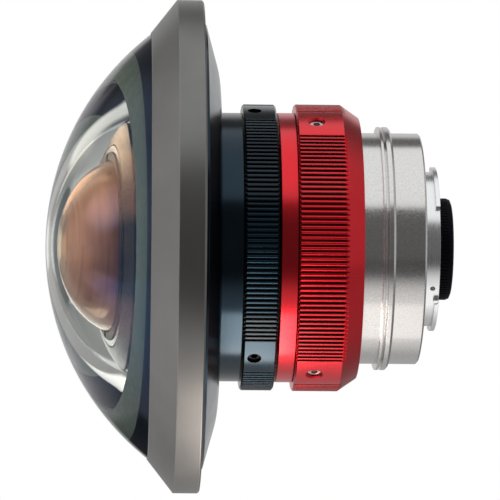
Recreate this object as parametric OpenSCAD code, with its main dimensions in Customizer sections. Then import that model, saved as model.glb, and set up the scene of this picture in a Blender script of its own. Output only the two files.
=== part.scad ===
// Fisheye lens with a bulging front dome, two knurled control rings, a six-blade iris and a bayonet mount.
// The optical axis is X. The origin is the centre of the mount flange, the dome faces -X and +Z is up.
// Lengths are millimetres. A position named ..._at is a distance in front of the flange plane.

/* [Front glass] */
// Position of the dome's tip
dome_at = 86.3; // [86:0.1:87]
// Position of the front corner of the dome's ground edge
dome_edge_at = 61.1657; // [61.1:0.0001:61.3]
// Thickness of the dome on the axis
dome_thick = 6.5; // [5.8:0.1:7]
// Radius of the hollow behind the dome
dome_hollow_r = 32.2; // [31.9:0.1:32.6]
// Position of the dome's flat back
dome_back_at = 60.3; // [60.2:0.05:60.4]
// Position of the second element's front
second_at = 76.5; // [76.2:0.1:76.8]
// Front radius of the second element
second_front_r = 21.3; // [21.1:0.1:21.6]
// Thickness of the second element on the axis
second_thick = 3; // [2.6:0.1:3.4]
// Back radius of the second element
second_back_r = 16; // [15.5:0.1:16.5]
// Edge radius of the second element
second_edge_r = 20.5; // [20.3:0.05:20.6]
// Position of the third element's front
third_at = 49.6; // [49.5:0.05:49.9]
// Front radius of the third element
third_front_r = 80; // [76:1:90]
// Thickness of the third element on the axis
third_thick = 2.6; // [2.2:0.1:3]
// Back radius of the third element
third_back_r = 17; // [16.5:0.1:18]

/* [Bezel] */
// Radius of the bezel's rim
bezel_r = 57; // [56:0.1:60]
// Position of the bezel's front lip
bezel_front_at = 62.35; // [62.3:0.05:62.8]
// Position of the front of the rim
bezel_rim_at = 56.4; // [55:0.1:57]
// Position of the bezel's back
bezel_back_at = 50.4; // [50:0.05:51]
// Width of the bezel outside the dome's edge
bezel_width = 7; // [5:0.1:8]
// Overlap of the bezel's lip on the dome's edge
bezel_overlap = 0.6; // [0.5:0.05:0.8]
// Position of the step inside the bezel
bezel_step_at = 57; // [56.8:0.05:57.2]
// Chamfer on the rim's back edge
bezel_chamfer = 0.4; // [0.2:0.05:0.8]

/* [Front housing] */
// Width of the housing's rim outside the dome's edge
housing_wall = 1.4; // [1:0.05:2]
// Position of the rim's back edge
housing_edge_at = 49.7; // [49.5:0.05:50]
// Position of the flat back of the dish
housing_back_at = 46.4; // [46.2:0.05:46.6]
// Radius where the flat back turns into the dish
housing_flat_r = 36.5; // [36:0.1:38]
// Radius of the rounded turn of the dish
housing_turn_r = 22; // [20:0.5:24]
// Radius of the neck behind the dish
neck_r = 31.1; // [30.8:0.05:31.3]
// Position of the neck's back
neck_back_at = 41.5; // [41.45:0.05:42]
// Thickness of the gasket under the dome
gasket_thick = 0.5; // [0.3:0.05:0.55]

/* [Barrel] */
// Outer radius of the main barrel
barrel_r = 24; // [23.8:0.05:24.2]
// Wall of the main barrel
barrel_wall = 2; // [1.8:0.05:2.1]
// Position of the barrel's front
barrel_front_at = 50.2; // [50:0.05:50.4]
// Position of the barrel's back
barrel_back_at = 12; // [11.95:0.05:12.4]

/* [Focus ring] */
// Outer radius of the focus ring
focus_r = 33.1; // [32.8:0.05:34]
// Wall of the focus ring outside the cam sleeve
focus_wall = 2; // [1.8:0.05:2.4]
// Position of the focus ring's front
focus_front_at = 41.2; // [41:0.05:41.3]
// Position of the focus ring's back
focus_back_at = 33.6; // [33.5:0.05:34]
// Position of the focus ring's set screws
focus_screw_at = 38.6; // [38:0.05:39]
// Angle of its first set screw above the camera-side line
focus_screw_angle = 71; // [60:1:80]
// Chamfer on the focus ring's edges
focus_chamfer = 0.4; // [0.2:0.05:0.6]
// Turn of the focus ring from far to near
focus_turn = 60; // [50:1:62]

/* [Focus cell] */
// Travel of the focusing cell
focus_travel = 1.2; // [0.8:0.05:1.25]
// Position of the cell's front at far focus
cell_front_at = 41; // [40.9:0.05:41.2]
// Position of the cell's back at far focus
cell_back_at = 30.6; // [30.5:0.05:31]
// Position of the three cam pins
cam_pin_at = 37.5; // [37:0.05:37.6]
// Radius of the cam pins
cam_pin_r = 1.5; // [1.3:0.05:1.6]
// Depth of the cam grooves outside the barrel
cam_groove_depth = 3.2; // [3:0.05:3.6]
// Edge radius of the focusing pair
pair_edge_r = 12; // [11.8:0.05:12.1]
// Position of the focusing pair's front
pair_at = 40.4; // [40.35:0.05:40.6]

/* [Aperture ring] */
// Outer radius of the aperture ring
aperture_r = 33.2; // [32.9:0.05:34]
// Position of the aperture ring's front
aperture_front_at = 29.1; // [29:0.05:29.15]
// Position where its back bevel starts
aperture_bevel_at = 18.6; // [18:0.1:19.5]
// Position of the aperture ring's back
aperture_back_at = 14.4; // [14.35:0.05:14.6]
// Depth of its back bevel
aperture_bevel = 2.9; // [2:0.1:3.2]
// Where the hub ends between the barrel and the grip, 0 at the barrel and 1 at the grip
hub_split = 0.62; // [0.6:0.01:0.65]
// Extra depth of the aperture ring over that split
hub_drop = 0.704; // [0.6:0.002:0.9]
// Position of the aperture ring's set screws
aperture_screw_at = 24.7; // [24:0.05:25]
// Angle of its first set screw above the camera-side line
aperture_screw_angle = 60; // [50:1:70]
// Turn of the aperture ring from open to closed
aperture_turn = 60; // [50:1:64]
// Radius of the red index band
band_r = 31.2; // [31:0.05:31.4]
// Position of the index band's front
band_front_at = 33.1; // [32.8:0.05:33.2]
// Position of the index band's back
band_back_at = 29.3; // [29.25:0.05:29.6]

/* [Grip] */
// Grooves on each third of a control ring
grooves_per_third = 59; // [50:1:64]
// Depth of a grip groove
groove_depth = 0.5; // [0.3:0.05:0.6]
// Smooth pads take this many grooves each
pad_grooves = 9; // [7:2:11]
// Radius of the set screws
set_screw_r = 1.5; // [1.3:0.05:1.55]
// Radius of the set screw holes
set_hole_r = 1.6; // [1.58:0.02:1.8]

/* [Iris] */
// Clear radius of the open iris
iris_open_r = 7.2; // [7:0.05:7.6]
// Distance of the blades' bands inside the pivots
blade_inset = 2; // [1.8:0.05:2.2]
// Thickness of a blade
blade_thick = 0.1; // [0.06:0.01:0.12]
// Tilt of a blade out of the iris plane
blade_tilt = 4.5; // [4.2:0.1:4.6]
// Distance of the blade pivots inside the rim of the iris base
pivot_inset = 3.2; // [3:0.05:3.3]
// Radius of the blade pins
blade_pin_r = 0.6; // [0.5:0.02:0.62]
// Turn of a blade from open to closed
blade_turn = 21; // [18:0.5:22]
// Position of the iris plane
iris_at = 26.45; // [26.4:0.02:26.5]

/* [Rear group] */
// Edge radius of the rear elements
rear_edge_r = 9; // [8.95:0.01:9.1]
// Outer radius of the rear cell's tube
rear_tube_r = 10.5; // [10.3:0.05:10.6]
// Outer radius of the rear lens ring
rear_ring_r = 11.8; // [11.6:0.05:12.4]
// Rear end of the rear lens ring behind the flange
rear_ring_end = 7.4; // [7.2:0.05:8]
// Grooves round the rear lens ring
rear_ring_grooves = 90; // [60:2:100]

/* [Mount] */
// Wall of the silver barrel outside the main barrel
mount_wall = 2.76; // [2.6:0.02:3]
// Height of its lip and its rib
rib_height = 1.44; // [1:0.02:2]
// Position of the mount sleeve's front
sleeve_front_at = 14.3; // [14.1:0.05:14.3]
// Position of the lip's front
lip_front_at = 9.9; // [9.7:0.05:10.4]
// Position of the lip's back
lip_back_at = 9.3; // [9.2:0.05:9.5]
// Position of the rib's front
rib_front_at = 8.7; // [8.5:0.05:8.9]
// Position of the rib's back
rib_back_at = 7.2; // [6.8:0.05:7.6]

/* [Bayonet] */
// Outer radius of the bayonet tube
tube_r = 17.9; // [17.7:0.05:18]
// Bore radius of the bayonet tube
tube_bore_r = 16.4; // [16.2:0.05:16.6]
// Length of the bayonet tube behind the flange
tube_end = 3.7; // [3.6:0.05:4]
// Radius over the lugs
lug_r = 19; // [18.8:0.05:19.1]
// Thickness of the lugs
lug_thick = 0.95; // [0.8:0.05:1.2]
// Width of the silver rim round the flange plate
flange_inset = 1.26; // [1:0.02:1.4]
// Thickness of the flange plate
flange_thick = 1.4; // [1.2:0.05:1.6]
// Radius of the lock pin hole
lock_hole_r = 1.5; // [1.3:0.05:1.6]
// Distance of the flange screws inside the plate's edge
flange_screw_inset = 3.1; // [2.8:0.05:3.3]

/* [Fits] */
// Running clearance of turning and sliding pieces
run_fit = 0.06; // [0.04:0.01:0.08]
// Clearance between pieces that are fixed together
seat_fit = 0.03; // [0.02:0.01:0.05]
// Clearance round the cam pins in their grooves
cam_fit = 0.08; // [0.07:0.01:0.1]
// Gap left for the cement of a glued pair
cement_gap = 0.02; // [0.02:0.01:0.04]

/* [Hidden] */
$fn = 96;

black = [0.06, 0.06, 0.07];
red = [0.75, 0.06, 0.1];
silver = [0.8, 0.8, 0.8];
grey = [0.45, 0.45, 0.43];
steel = [0.65, 0.66, 0.68];
brass = [0.75, 0.6, 0.3];
glass = [0.75, 0.85, 0.85, 0.4];

// The dome and the pieces that clamp it
dome_edge_r = bezel_r - bezel_width;
dome_rise = dome_at - dome_edge_at;
dome_r = (pow(dome_rise, 2) + pow(dome_edge_r, 2)) / (2 * dome_rise);
bezel_lip_r = dome_edge_r - bezel_overlap;
housing_r = dome_edge_r + housing_wall;
dome_centre = dome_r - dome_at;
dome_hollow_apex = dome_thick - dome_at;
bezel_bore_r = housing_r + 0.2;
bezel_seat_r = dome_edge_r + 0.15;
bezel_seat_at = sqrt(pow(dome_r, 2) - pow(bezel_seat_r, 2)) - dome_centre + 0.2;
bezel_lip_back_at = sqrt(pow(dome_r, 2) - pow(bezel_lip_r, 2)) - dome_centre + 0.12;
housing_front_at = dome_back_at - gasket_thick - 0.1;
gasket_width = 10;
gasket_inner_r = dome_edge_r - gasket_width;
second_back_at = 58.5;
second_seat_at = second_back_at - 0.05;
second_edge_at = second_at - second_front_r + sqrt(pow(second_front_r, 2) - pow(second_edge_r, 2));
second_retainer_at = second_edge_at + 0.2;
second_retainer_front_at = second_edge_at + 1.2;
boss_front_at = second_edge_at + 0.8;
second_thread_r = second_edge_r + 1.7;
boss_r = second_thread_r + 1.4;
second_lip_r = 18.2;
barrel_bore_r = barrel_r - barrel_wall;
third_edge_r = barrel_bore_r - 0.1;
third_back_at = 43.6;
third_lip_width = 3.5;
third_lip_r = barrel_bore_r - third_lip_width;
third_retainer_width = 2.5;
third_retainer_r = barrel_bore_r - third_retainer_width;
third_retainer_at = third_at - third_front_r + sqrt(pow(third_front_r, 2) - pow(third_retainer_r, 2)) + 0.1;
pocket_inner_r = 29.6;
pocket_outer_r = gasket_inner_r - 0.5;
pocket_floor_at = 50.8;
dish_turn_end_r = 43;

// The focusing works
slide_r = barrel_bore_r - run_fit;
turn_bore_r = barrel_r + run_fit;
sleeve_r = focus_r - focus_wall;
cam_groove_r = barrel_r + cam_groove_depth;
cam_pin_root = 4;
cam_pin_inner_r = barrel_bore_r - cam_pin_root;
cell_wall = 2.54;
cell_core_wall = 2.4;
cell_groove_depth = 3.4;
cam_pin_outer_r = cam_groove_r - 0.3;
cam_pin_angles = [30, 150, 270];
cam_mid_r = (barrel_r + cam_pin_outer_r) / 2;
cam_slope = atan(focus_travel / (2 * cam_mid_r * sin(focus_turn / 2)));
set_screw_length = 3.9;
set_screw_sink = 0.7;
socket_depth = 1.6;
socket_r = 0.85;
screw_count = 3;
screw_spacing = 360 / screw_count;
pair_front_r = 40;
pair_glue_r = 28;
pair_back_r = 46;
pair_front_thick = 6.5;
pair_back_thick = 2.4;
pair_lip_r = 10.8;
pair_lip_at = pair_at - pair_front_r + sqrt(pow(pair_front_r, 2) - pow(pair_lip_r, 2)) + 0.08;
pair_glue_at = pair_at - pair_front_thick;
pair_back_at = pair_glue_at - cement_gap - pair_back_thick;
pair_hold_r = 10.5;
pair_hold_at = pair_back_at + pair_back_r - sqrt(pow(pair_back_r, 2) - pow(pair_hold_r, 2)) - 0.06;

// The aperture works
hub_r = barrel_r + hub_split * (aperture_r - barrel_r) - hub_drop;
aperture_back_r = aperture_r - aperture_bevel;
hub_front_at = aperture_front_at - 0.2;
hub_back_at = 15.6;
drive_pin_r = 1;
drive_pin_at = 23.9;
drive_pin_angle = 100;
blade_count = 6;
blade_pitch = 360 / blade_count;
blade_mid_angle = 34;
blade_start_angle = 4;
blade_end_angle = 57;
blade_lobe_r = 1.6;
base_rim_wall = 2.2;
base_rim_r = barrel_bore_r - base_rim_wall;
pivot_circle_r = base_rim_r - pivot_inset;
blade_outer_r = pivot_circle_r - blade_inset;
drive_inset = 1;
drive_circle_r = pivot_circle_r - drive_inset;
drive_angle = 39;
base_front_at = 28.4;
base_face_at = 27.5;
base_rim_at = 25.6;
actuator_front_at = 25.45;
actuator_plate = 0.6;
actuator_back_at = 22.7;
pin_low = 1.5;
pin_high = 1.5;

// The rear group
rear_bore_r = rear_edge_r + 0.05;
rear_cell_front_at = 22.6;
rear_cell_step_at = 13;
rear_lip_r = 7.8;
rear_spacer_r = 8;
rear_first_at = 21.2;
rear_first_thick = 5;
rear_first_front_r = 25;
rear_first_back_r = 30;
rear_pair_at = 14.2;
rear_pair_front_r = 22;
rear_pair_glue_r = 18;
rear_pair_back_r = 40;
rear_pair_front_thick = 5.8;
rear_pair_back_thick = 1.98;
rear_last_at = 0.4;
rear_last_thick = 4.6;
rear_last_front_r = 26;
rear_last_back_r = 35;
rear_tube_end = 3.1;
rear_ring_start = 2.2;
rear_ring_lip_r = 8.2;
baffle_start = 0.4;
baffle_end = 2.6;
baffle_thick = 0.8;

// The mount
mount_r = barrel_r + mount_wall;
rib_r = mount_r + rib_height;
flange_r = mount_r - flange_inset;
flange_screw_circle_r = flange_r - flange_screw_inset;
spigot_step = 2;
sleeve_spigot_r = barrel_r + spigot_step;
sleeve_spigot_back_at = 5;
sleeve_step = 1;
sleeve_bore_r = barrel_r - sleeve_step;
web_front_at = 4.9;
web_inset = 1.9;
web_bore_r = flange_screw_circle_r - web_inset;
mount_back_at = 0.15;
seat_inner_r = 19.4;
relief = 0.3;
screw_head_r = 1.6;
screw_shank_r = 0.8;
screw_end_at = 4.3;
flange_screw_angles = [25, 115, 205, 295];
lock_hole_angle = 160;
lug_ranges = [[31, 98], [-104, -38], [150, 215]];

// Height of a ball's cap of radius r at distance d from its axis
function sag(r, d) = r - sqrt(pow(r, 2) - pow(d, 2));

// A point on a circle
function polar(r, a) = [r * cos(a), r * sin(a)];

// Turns a profile of [radius, x] points round the optical axis
module turned(points) {
  rotate([0, 90, 0]) rotate_extrude() polygon(points);
}

// Round bar along the axis between two positions
module bar(front, back, r) {
  translate([front, 0, 0]) rotate([0, 90, 0]) cylinder(h = back - front, r = r);
}

// Hollow bar along the axis
module pipe(front, back, outer, inner) {
  difference() {
    bar(front, back, outer);
    bar(front - 1, back + 1, inner);
  }
}

// Ball whose front or back cap makes a lens face, with its seam turned to the other side
module front_ball(x, r) {
  translate([x, 0, 0]) sphere(r, $fn = 300);
}

module back_ball(x, r) {
  translate([x, 0, 0]) rotate([0, 0, 180]) sphere(r, $fn = 300);
}

// Puts the local Z axis outwards at an angle above the camera-side line
module outward(angle, x) {
  rotate([90 - angle, 0, 0]) translate([x, 0, 0]) children();
}

// Slot round the axis between two angles
module arc_slot(x, half, inner, outer, from, to) {
  rotate([0, 90, 0]) rotate([0, 0, -90 - to]) rotate_extrude(angle = to - from)
    translate([inner, x - half]) square([outer - inner, 2 * half]);
}

// Lens with a convex front and a hollow back, cut flat behind
module meniscus(front_x, front_r, back_x, back_r, edge_r, flat_x) {
  difference() {
    intersection() {
      bar(front_x - 1, flat_x, edge_r);
      front_ball(front_x + front_r, front_r);
    }
    front_ball(back_x + back_r, back_r);
  }
}

// Lens that is convex on both sides
module double_convex(front_x, front_r, back_x, back_r, edge_r) {
  intersection() {
    bar(front_x - 1, back_x + 1, edge_r);
    front_ball(front_x + front_r, front_r);
    back_ball(back_x - back_r, back_r);
  }
}

// Lens with a hollow front and a convex back, with a narrow flat round the hollow
module back_meniscus(front_x, front_r, back_x, back_r, edge_r) {
  difference() {
    intersection() {
      bar(front_x - sag(front_r, edge_r - 0.3), back_x + 1, edge_r);
      back_ball(back_x - back_r, back_r);
    }
    back_ball(front_x - front_r, front_r);
  }
}

// Outline of a ring with axial grip grooves and three smooth pads
module grip_outline(r, first_pad) {
  count = screw_count * grooves_per_third;
  pitch = 360 / count;
  half_pad = floor(pad_grooves / 2);
  points = [
    for (i = [0 : count - 1])
      let (a = (i + 0.5) * pitch, place = (i + half_pad) % grooves_per_third, cut = place >= pad_grooves)
        for (k = [-2, -1, 1, 2])
          polar(cut && abs(k) == 1 ? r - groove_depth : r, a + k * pitch * (abs(k) == 1 ? 0.1 : 0.13))
  ];
  rotate(-90 - first_pad - pitch / 2) polygon(points);
}

// Ring with a gripped outside, cut from a turned profile that reaches over the lands
module grip_ring(r, first_pad, front, back, profile) {
  intersection() {
    turned(profile);
    translate([front, 0, 0]) rotate([0, 90, 0])
      linear_extrude(height = back - front) grip_outline(r, first_pad);
  }
}

// Set screws with hexagon sockets, one in the middle of each smooth pad
module set_screws(first_angle, x, r) {
  for (i = [0 : screw_count - 1])
    outward(first_angle + i * screw_spacing, x) difference() {
      translate([0, 0, r - set_screw_sink - set_screw_length])
        cylinder(h = set_screw_length, r = set_screw_r);
      translate([0, 0, r - set_screw_sink - socket_depth])
        cylinder(h = socket_depth + 0.4, r = socket_r, $fn = 6);
    }
}

// Holes for the set screws, down to an inner radius
module set_holes(first_angle, x, inner, outer) {
  for (i = [0 : screw_count - 1])
    outward(first_angle + i * screw_spacing, x) translate([0, 0, inner])
      cylinder(h = outer - inner, r = set_hole_r);
}

module front_element() {
  color(glass)
    meniscus(-dome_at, dome_r, dome_hollow_apex, dome_hollow_r, dome_edge_r, -dome_back_at);
}

module front_bezel() {
  color(grey) turned([
    [bezel_lip_r, -bezel_front_at],
    [bezel_r, -bezel_rim_at],
    [bezel_r, -bezel_back_at - bezel_chamfer],
    [bezel_r - bezel_chamfer, -bezel_back_at],
    [bezel_bore_r, -bezel_back_at],
    [bezel_bore_r, -bezel_step_at],
    [bezel_seat_r, -bezel_step_at],
    [bezel_seat_r, -bezel_seat_at],
    [bezel_lip_r, -bezel_lip_back_at]
  ]);
}

module dome_gasket() {
  color(black) pipe(-dome_back_at + 0.05, -housing_front_at - 0.05, dome_edge_r - 0.2, gasket_inner_r);
}

module front_housing() {
  turn_x = -housing_back_at - housing_turn_r;
  dish = [
    for (i = [0 : 8])
      let (d = (dish_turn_end_r - housing_flat_r) * (1 - i / 8))
        [housing_flat_r + d, turn_x + sqrt(pow(housing_turn_r, 2) - pow(d, 2))]
  ];
  color(black) turned(concat(
    [
      [dome_edge_r, -housing_front_at],
      [dome_edge_r, -bezel_step_at + 0.2],
      [housing_r, -bezel_step_at + 0.2],
      [housing_r, -housing_edge_at]
    ],
    dish,
    [
      [neck_r, -housing_back_at],
      [neck_r, -neck_back_at],
      [barrel_r + seat_fit, -neck_back_at],
      [barrel_r + seat_fit, -barrel_front_at - seat_fit],
      [second_lip_r, -barrel_front_at - seat_fit],
      [second_lip_r, -second_seat_at],
      [second_edge_r + 0.1, -second_seat_at],
      [second_edge_r + 0.1, -second_edge_at],
      [second_thread_r, -second_edge_at],
      [second_thread_r, -boss_front_at],
      [boss_r, -boss_front_at],
      [boss_r, -housing_front_at],
      [pocket_inner_r, -housing_front_at],
      [pocket_inner_r, -pocket_floor_at],
      [pocket_outer_r, -pocket_floor_at],
      [pocket_outer_r, -housing_front_at]
    ]
  ));
}

module front_baffle() {
  foot = -housing_front_at - 0.05;
  color(black) turned([
    [boss_r + 0.3, foot],
    [pocket_inner_r - 0.8, foot],
    [pocket_inner_r - 0.8, foot - 0.9],
    [boss_r + 0.3, -boss_front_at]
  ]);
}

module second_element() {
  color(glass)
    meniscus(-second_at, second_front_r, second_thick - second_at, second_back_r,
      second_edge_r, -second_back_at);
}

module second_retainer() {
  depth = second_retainer_front_at - second_at + second_front_r;
  color(black) turned([
    [second_edge_r + 0.1, -second_retainer_at],
    [second_thread_r - seat_fit, -second_retainer_at],
    [second_thread_r - seat_fit, -second_retainer_front_at],
    [sqrt(pow(second_front_r, 2) - pow(depth, 2)) + 0.2, -second_retainer_front_at]
  ]);
}

module third_element() {
  color(glass)
    meniscus(-third_at, third_front_r, third_thick - third_at, third_back_r, third_edge_r, -third_back_at);
}

module third_retainer() {
  color(black)
    pipe(-barrel_front_at + 0.1, -third_retainer_at, barrel_bore_r - seat_fit, third_retainer_r);
}

module main_barrel() {
  lip = -third_back_at + 0.05;
  slot_half = cam_pin_r + run_fit;
  drive_half = asin((drive_pin_r + run_fit) / barrel_bore_r);
  color(black) difference() {
    turned([
      [barrel_bore_r, -barrel_front_at],
      [barrel_r, -barrel_front_at],
      [barrel_r, -barrel_back_at],
      [barrel_bore_r, -barrel_back_at],
      [barrel_bore_r, lip + 0.8],
      [third_lip_r, lip + 0.8],
      [third_lip_r, lip],
      [barrel_bore_r, lip]
    ]);
    for (a = cam_pin_angles)
      outward(a, -cam_pin_at - focus_travel - slot_half) translate([0, -slot_half, barrel_bore_r - 2])
        cube([focus_travel + 2 * slot_half, 2 * slot_half, barrel_wall + 4]);
    arc_slot(-drive_pin_at, drive_pin_r + run_fit, barrel_bore_r - 1, barrel_r + 1,
      drive_pin_angle - aperture_turn - drive_half, drive_pin_angle + drive_half);
  }
}

module focus_ring() {
  front = -focus_front_at;
  back = -focus_back_at;
  bore = sleeve_r + seat_fit;
  over = 0.2;
  color(black) difference() {
    grip_ring(focus_r, focus_screw_angle, front, back, [
      [bore, front],
      [focus_r - focus_chamfer, front],
      [focus_r + over, front + focus_chamfer + over],
      [focus_r + over, back - focus_chamfer - over],
      [focus_r - focus_chamfer, back],
      [bore, back]
    ]);
    set_holes(focus_screw_angle, -focus_screw_at, sleeve_r - 1, focus_r + 1);
  }
}

module focus_screws() {
  color(black) set_screws(focus_screw_angle, -focus_screw_at, focus_r);
}

module cam_sleeve() {
  half = cam_pin_r + cam_fit;
  reach = cam_groove_r * sin(focus_turn / 2) + 2 * half;
  color(brass) difference() {
    pipe(-focus_front_at + 0.1, -focus_back_at - 0.1, sleeve_r, turn_bore_r);
    set_holes(focus_screw_angle, -focus_screw_at, focus_r - set_screw_sink - set_screw_length - 0.1, focus_r);
    intersection() {
      bar(-focus_front_at, -focus_back_at, cam_groove_r);
      for (a = cam_pin_angles)
        outward(a + focus_turn / 2, -cam_pin_at - focus_travel / 2) rotate([0, 0, cam_slope])
          translate([-half, -reach, 0]) cube([2 * half, 2 * reach, cam_groove_r + 1]);
    }
  }
}

module focus_cell() {
  color(black) difference() {
    turned([
      [pair_lip_r, -cell_front_at],
      [slide_r, -cell_front_at],
      [slide_r, -cell_back_at],
      [slide_r - cell_wall, -cell_back_at],
      [slide_r - cell_wall, -cell_back_at - cell_groove_depth],
      [pair_edge_r + cell_core_wall, -cell_back_at - cell_groove_depth],
      [pair_edge_r + cell_core_wall, -cell_back_at],
      [pair_edge_r + 0.05, -cell_back_at],
      [pair_edge_r + 0.05, -pair_lip_at],
      [pair_lip_r, -pair_lip_at]
    ]);
    for (a = cam_pin_angles)
      outward(a, -cam_pin_at) translate([0, 0, cam_pin_inner_r - 0.1])
        cylinder(h = cam_pin_root + 2, r = cam_pin_r + seat_fit);
  }
}

module cam_pins() {
  color(steel) for (a = cam_pin_angles)
    outward(a, -cam_pin_at) translate([0, 0, cam_pin_inner_r])
      cylinder(h = cam_pin_outer_r - cam_pin_inner_r, r = cam_pin_r);
}

module pair_front_element() {
  color(glass) double_convex(-pair_at, pair_front_r, -pair_glue_at, pair_glue_r, pair_edge_r);
}

module pair_back_element() {
  color(glass)
    back_meniscus(-pair_glue_at + cement_gap, pair_glue_r, -pair_back_at, pair_back_r, pair_edge_r);
}

module pair_retainer() {
  color(black) pipe(-pair_hold_at, -cell_back_at - 0.2, pair_edge_r, pair_hold_r);
}

module index_band() {
  color(red) turned([
    [barrel_r + seat_fit, -band_front_at],
    [band_r - 0.15, -band_front_at],
    [band_r, -band_front_at + 0.15],
    [band_r, -band_back_at],
    [barrel_r + seat_fit, -band_back_at]
  ]);
}

module aperture_ring() {
  front = -aperture_front_at;
  back = -aperture_back_at;
  bore = hub_r + seat_fit;
  over = 0.2;
  bevel_run = (aperture_bevel_at - aperture_back_at) / (aperture_r - aperture_back_r);
  color(red) difference() {
    grip_ring(aperture_r, aperture_screw_angle, front, back, [
      [bore, front],
      [aperture_r - 0.3, front],
      [aperture_r + over, front + 0.3 + over],
      [aperture_r + over, -aperture_bevel_at - over * bevel_run],
      [aperture_back_r, back],
      [mount_r + 0.3, back],
      [mount_r + 0.3, -hub_back_at + 0.2],
      [bore, -hub_back_at + 0.2]
    ]);
    set_holes(aperture_screw_angle, -aperture_screw_at, hub_r - 1, aperture_r + 1);
    for (i = [0 : screw_count - 1])
      outward(aperture_screw_angle + i * screw_spacing, -aperture_screw_at)
        translate([0, 0, aperture_r - 0.9]) cylinder(h = 1.3, r1 = set_hole_r - 0.5, r2 = set_hole_r + 0.8);
  }
}

module aperture_screws() {
  color(steel) set_screws(aperture_screw_angle, -aperture_screw_at, aperture_r);
}

module aperture_hub() {
  color(black) difference() {
    pipe(-hub_front_at, -hub_back_at, hub_r, turn_bore_r);
    set_holes(aperture_screw_angle, -aperture_screw_at,
      aperture_r - set_screw_sink - set_screw_length - 0.1, hub_r + 1);
    outward(drive_pin_angle, -drive_pin_at) translate([0, 0, barrel_r - 1])
      cylinder(h = hub_r - barrel_r + 2, r = drive_pin_r + seat_fit);
  }
}

module aperture_drive_pin() {
  color(steel) outward(drive_pin_angle, -drive_pin_at) translate([0, 0, barrel_bore_r - 1.6])
    cylinder(h = hub_r - barrel_bore_r + 1.4, r = drive_pin_r);
}

module iris_retainer() {
  color(black) pipe(-base_front_at - 1.6, -base_front_at - 0.05, barrel_bore_r - seat_fit, base_rim_r);
}

module iris_base() {
  color(black) difference() {
    turned([
      [iris_open_r + 0.4, -base_front_at],
      [barrel_bore_r - seat_fit, -base_front_at],
      [barrel_bore_r - seat_fit, -base_rim_at],
      [base_rim_r, -base_rim_at],
      [base_rim_r, -base_face_at],
      [iris_open_r + 0.4, -base_face_at]
    ]);
    for (i = [0 : blade_count - 1])
      rotate([0, 90, 0]) translate(concat(polar(pivot_circle_r, i * blade_pitch), [-base_front_at - 1]))
        cylinder(h = 3, r = blade_pin_r + run_fit);
  }
}

// Flat outline of a blade that lies open, with its pivot at angle 0
module blade_outline() {
  mid_r = (iris_open_r + blade_outer_r) / 2;
  half = (blade_outer_r - iris_open_r) / 2;
  elbow = polar(blade_outer_r - blade_lobe_r, blade_start_angle + 12);
  pivot = polar(pivot_circle_r, 0);
  across = blade_lobe_r * (elbow - pivot) / norm(elbow - pivot);
  side = [-across[1], across[0]];
  intersection() {
    difference() {
      circle(blade_outer_r);
      circle(iris_open_r);
    }
    polygon(concat([[0, 0]], [for (i = [0 : 4])
      polar(2.75 * blade_outer_r, blade_start_angle + i / 4 * (blade_end_angle - blade_start_angle))]));
  }
  for (a = [blade_start_angle, blade_end_angle])
    translate(polar(mid_r, a)) circle(half);
  translate(pivot) circle(blade_lobe_r);
  polygon([pivot + side, elbow + side, elbow - side, pivot - side]);
  translate(polar(drive_circle_r, drive_angle)) circle(blade_lobe_r);
}

// Blade number i, its pivot pin to the front and its drive pin to the back
module blade(i) {
  tilt = tan(blade_tilt);
  pivot_x = tilt * pivot_circle_r * sin(-blade_mid_angle);
  drive_x = tilt * drive_circle_r * sin(drive_angle - blade_mid_angle);
  translate([-iris_at, 0, 0]) rotate([0, 90, 0]) rotate([0, 0, i * blade_pitch]) {
    rotate([0, 0, blade_mid_angle]) rotate([blade_tilt, 0, 0]) rotate([0, 0, -blade_mid_angle])
      translate([0, 0, -blade_thick / 2]) linear_extrude(height = blade_thick) blade_outline();
    translate(concat(polar(pivot_circle_r, 0), [-pin_low])) cylinder(h = pivot_x + pin_low, r = blade_pin_r);
    translate(concat(polar(drive_circle_r, drive_angle), [drive_x]))
      cylinder(h = pin_high - drive_x, r = blade_pin_r);
  }
}

module iris_blade_1() {
  color(black) blade(0);
}

module iris_blade_2() {
  color(black) blade(1);
}

module iris_blade_3() {
  color(black) blade(2);
}

module iris_blade_4() {
  color(black) blade(3);
}

module iris_blade_5() {
  color(black) blade(4);
}

module iris_blade_6() {
  color(black) blade(5);
}

// Place of a drive pin, seen from the turning actuator, at a share s of the whole turn
function drive_path(s) =
  let (
    turn = s * blade_turn,
    arm = polar(drive_circle_r, drive_angle) - polar(pivot_circle_r, 0),
    p = polar(pivot_circle_r, 0)
      + [arm[0] * cos(turn) - arm[1] * sin(turn), arm[0] * sin(turn) + arm[1] * cos(turn)],
    back = -s * aperture_turn
  )
  [p[0] * cos(back) - p[1] * sin(back), p[0] * sin(back) + p[1] * cos(back)];

// Slot along that path, as wide as a drive pin and its clearance
module drive_slot() {
  half = blade_pin_r + cam_fit;
  steps = 16;
  function aside(s, d) =
    let (along = drive_path(s + 0.01) - drive_path(s - 0.01), unit = along / norm(along))
    drive_path(s) + d * [-unit[1], unit[0]];
  polygon(concat(
    [for (i = [0 : steps]) aside(i / steps, half)],
    [for (i = [steps : -1 : 0]) aside(i / steps, -half)]
  ));
  for (s = [0, 1])
    translate(drive_path(s)) circle(half);
}

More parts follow.
